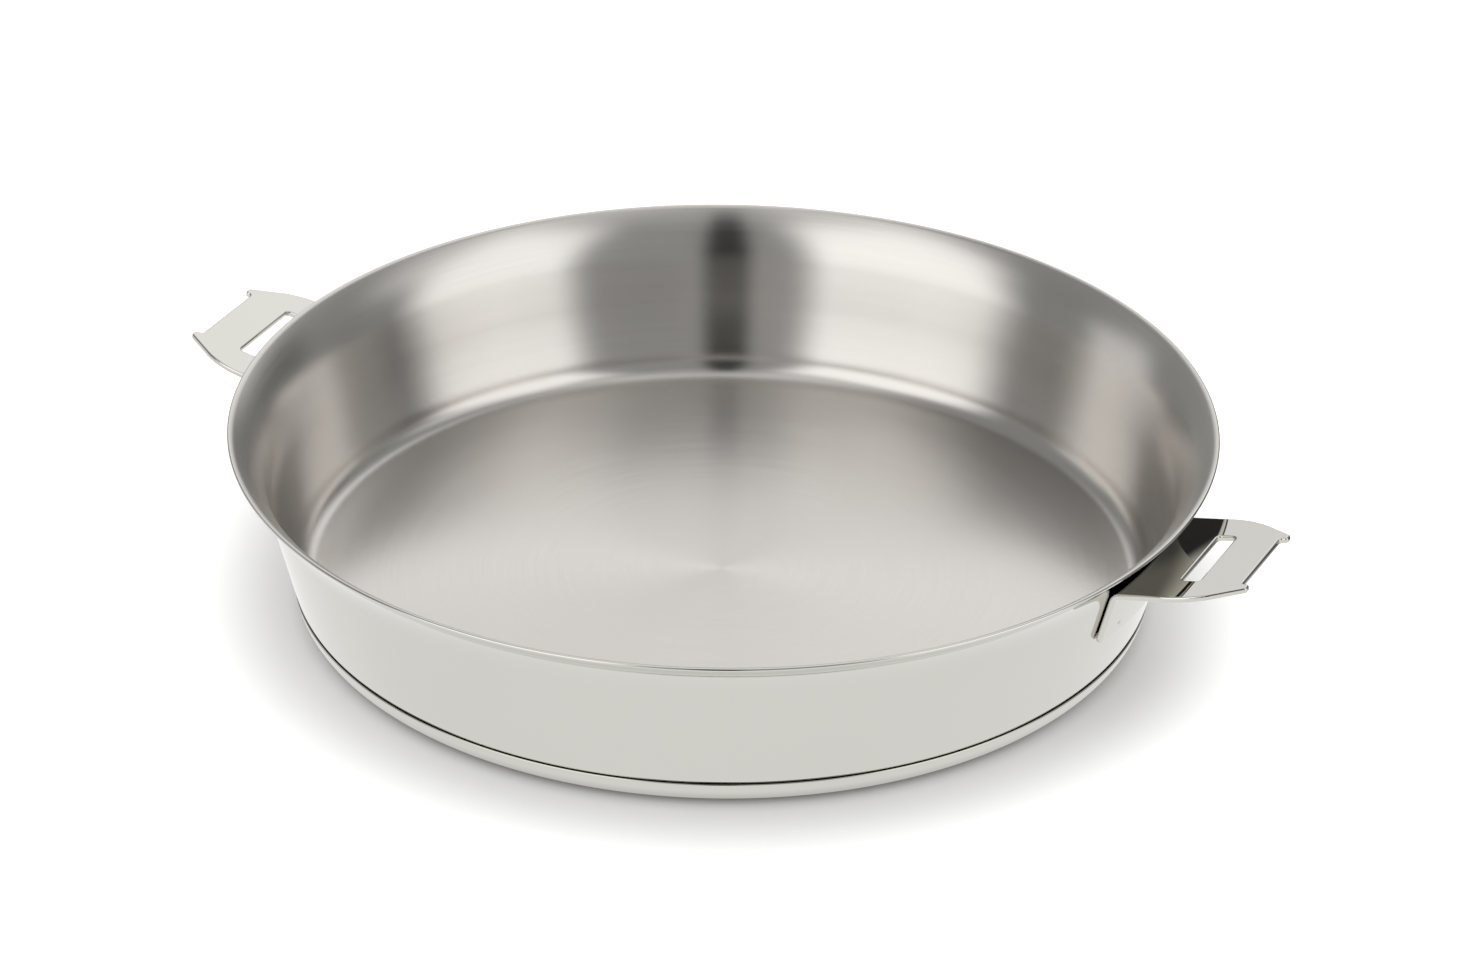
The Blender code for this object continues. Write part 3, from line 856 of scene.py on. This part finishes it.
class PAN_OT_brackets(bpy.types.Operator):
    """Build the two bent brackets and give their spot welds their metal"""

    bl_idname = "pan.build_brackets"
    bl_label = "Build Brackets"

    def execute(self, context):
        sizes, pan, look = (context.scene.pan_bracket, context.scene.pan_sizes,
                            context.scene.pan_steel)
        materials = [material_once("steel_mirror", look), material_once("weld_metal", look)]
        for side, azimuth in (("right", 0.0), ("left", math.pi)):
            add_piece(f"bracket_{side}_bent", bracket_mesh(sizes, pan, azimuth), materials,
                      f"bracket_{side}")
            for index in range(1, sizes.mark_count + 1):
                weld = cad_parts[f"spot_weld_{side}_{index}"]
                weld.material_slots[0].material = material_once("weld_metal", look)
        return {"FINISHED"}


def room_light(nodes, settings):
    """Strength of the light that reflections meet, by direction.

    The direction's X points to the right of the camera, its Y away from it and its Z up.
    """
    facing = nodes.add("ShaderNodeMapping", {"Vector": nodes.coordinates("Generated"),
                                             "Rotation": (0.0, 0.0, -settings.turn)},
                       vector_type="VECTOR")
    x, y, z = nodes.parts(facing.outputs[0])
    level = (x * x + y * y).math("SQRT")
    elevation = z.math("ARCSINE") * DEGREES_PER_RADIAN
    light = settings.room
    for panel in PANELS:
        towards = direction(math.radians(panel.heading))
        cosine = (x * towards.x + y * towards.y) / level
        aside = cosine.math("ARCCOSINE") * DEGREES_PER_RADIAN
        soft = panel.softness
        mask = (nodes.between(panel.half_width - aside, -soft, soft)
                * nodes.between(elevation - panel.lowest, -soft, soft)
                * nodes.between(panel.highest - elevation, -soft, soft))
        light = (1.0 - mask) * light + mask * panel.strength
    return light


def build_world(settings):
    """White to the eye, panels of light to the metal, and daylight from above to the floor."""
    world = bpy.data.worlds.new("studio")
    world.use_nodes = True
    bpy.context.scene.world = world
    nodes = Nodes(world.node_tree)
    z = nodes.parts(nodes.coordinates("Generated"))[2]
    rays = nodes.add("ShaderNodeLightPath").outputs
    mirrored = Number(nodes, rays["Is Glossy Ray"])
    scattered = Number(nodes, rays["Is Diffuse Ray"])
    panels = room_light(nodes, settings)
    daylight = z * settings.overhead + panels * settings.side_fill + settings.fill
    light = mirrored * panels + scattered * daylight + (1.0 - mirrored - scattered)
    background = world.node_tree.nodes["Background"]
    nodes.feed(background.inputs["Color"], scaled(WHITE, 1.0))
    nodes.feed(background.inputs["Strength"], light)


def floor_in_mirrors(nodes, settings, x, y, radius):
    """Strength of the floor's light in reflections.

    It is darker beside the base, and darkest beyond the pan's shadow on one side.
    """
    towards = direction(settings.turn + settings.shade_heading)
    cosine = (x * towards.x + y * towards.y) / radius
    lit = nodes.between(cosine.math("ARCCOSINE"), settings.shade_core, settings.shade_spread)
    foot = nodes.between(radius, *FOOT_RING)
    shade = (1.0 - lit) * nodes.between(radius, *SHADE_RING) * settings.shade_depth
    seen = settings.mirror_foot + foot * (settings.mirror_floor - settings.mirror_foot)
    return seen * (1.0 - shade)


def floor_in_light(nodes, settings, radius):
    """The painted floor that takes the pan's shadow, its grey darkened beside the base as painted
    shadow, with a glow that lifts it to white.
    """
    # Painted shadow: the floor's grey falls towards the base, deepening its contact shadow.
    paint_with_shadow = nodes.blend(nodes.between(radius, *PAINTED_SHADOW_RING),
                        scaled(WHITE, settings.floor_painted_shadow),
                        scaled(WHITE, settings.floor_paint))
    painted = nodes.add("ShaderNodeBsdfDiffuse", {"Color": paint_with_shadow})
    lift = nodes.between(radius, *GLOW_RING) * settings.floor_glow
    glow = nodes.add("ShaderNodeEmission", {"Strength": lift})
    return nodes.add("ShaderNodeAddShader", {0: painted.outputs[0], 1: glow.outputs[0]})


def floor_material(settings):
    """A white floor that keeps the pan's shadow near it and is plain white farther off.

    Reflections meet its own light instead. It is clear under the base and from below.
    """
    material = bpy.data.materials.new("floor_white")
    material.use_nodes = True
    nodes = Nodes(material.node_tree)
    material.node_tree.nodes.remove(material.node_tree.nodes["Principled BSDF"])
    x, y, z = nodes.parts(nodes.coordinates("Object"))
    radius = (x * x + y * y).math("SQRT")
    mirrored = nodes.number("ShaderNodeLightPath", output="Is Glossy Ray")
    in_mirrors = floor_in_mirrors(nodes, settings, x, y, radius)
    plain = nodes.add("ShaderNodeEmission", {"Strength": 1.0 - (1.0 - in_mirrors) * mirrored})
    far = nodes.between(radius, *FAR_RING)
    from_above = nodes.mix_shaders(far.math("MAXIMUM", mirrored),
                                   floor_in_light(nodes, settings, radius), plain)
    below = nodes.number("ShaderNodeNewGeometry", output="Backfacing")
    under_base = 1.0 - nodes.between(radius, *CLEAR_RING)
    clear = nodes.add("ShaderNodeBsdfTransparent")
    shown = nodes.mix_shaders(below.math("MAXIMUM", under_base), from_above, clear)
    output = material.node_tree.nodes["Material Output"]
    nodes.feed(output.inputs["Surface"], shown.outputs[0])
    return material


def build_floor(settings):
    """The plane that the pan stands on."""
    plane = bmesh.new()
    bmesh.ops.create_grid(plane, x_segments=1, y_segments=1, size=settings.floor_size / 2)
    bmesh.ops.translate(plane, verts=plane.verts, vec=(0.0, 0.0, -settings.floor_gap))
    mesh = bpy.data.meshes.new("floor")
    plane.to_mesh(mesh)
    plane.free()
    mesh.materials.append(floor_material(settings))
    floor = bpy.data.objects.new("floor", mesh)
    bpy.context.scene.collection.objects.link(floor)


def build_camera(settings):
    """The camera at the photograph's place, which looks down at the pan."""
    data = bpy.data.cameras.new("camera")
    data.lens = settings.lens
    data.clip_start = settings.clip_start
    camera = bpy.data.objects.new("camera", data)
    bpy.context.scene.collection.objects.link(camera)
    heading = Matrix.Rotation(settings.turn, 4, "Z")
    place = Matrix.Translation((0.0, -settings.camera_distance, settings.camera_height))
    aim = (Matrix.Rotation(-settings.camera_yaw, 4, "Z")
           @ Matrix.Rotation(math.pi / 2 - settings.camera_pitch, 4, "X")
           @ Matrix.Rotation(settings.camera_roll, 4, "Z"))
    camera.matrix_world = heading @ place @ aim
    bpy.context.scene.camera = camera


class PAN_OT_stage(bpy.types.Operator):
    """Set up the floor, the light and the camera"""

    bl_idname = "pan.build_stage"
    bl_label = "Build Stage"

    def execute(self, context):
        settings = context.scene.pan_studio
        build_floor(settings)
        build_world(settings)
        build_camera(settings)
        context.scene.view_settings.view_transform = "Standard"
        return {"FINISHED"}


OPERATORS = (PAN_OT_shell, PAN_OT_base, PAN_OT_brackets, PAN_OT_stage)
GROUPS = {"pan_sizes": PanSizes, "pan_bracket": BracketSizes, "pan_steel": SteelLook,
          "pan_studio": StudioSettings}


class VIEW3D_PT_frying_pan(bpy.types.Panel):
    """Sizes, finishes and building steps of the frying pan"""

    bl_label = "Frying Pan"
    bl_space_type = "VIEW_3D"
    bl_region_type = "UI"
    bl_category = "Frying Pan"

    def draw(self, context):
        for operator in OPERATORS:
            self.layout.operator(operator.bl_idname)
        for attribute, group in GROUPS.items():
            box = self.layout.box()
            box.label(text=group.__doc__)
            for name in group.__annotations__:
                box.prop(getattr(context.scene, attribute), name)


def register():
    for group in GROUPS.values():
        bpy.utils.register_class(group)
    for operator in OPERATORS:
        bpy.utils.register_class(operator)
    bpy.utils.register_class(VIEW3D_PT_frying_pan)
    for attribute, group in GROUPS.items():
        setattr(bpy.types.Scene, attribute, PointerProperty(type=group))


def unregister():
    for attribute in GROUPS:
        delattr(bpy.types.Scene, attribute)
    bpy.utils.unregister_class(VIEW3D_PT_frying_pan)
    for made in reversed([*GROUPS.values(), *OPERATORS]):
        bpy.utils.unregister_class(made)


def main():
    register()
    bpy.ops.pan.build_shell()
    bpy.ops.pan.build_base()
    bpy.ops.pan.build_brackets()
    bpy.ops.pan.build_stage()


if __name__ == "__main__":
    main()
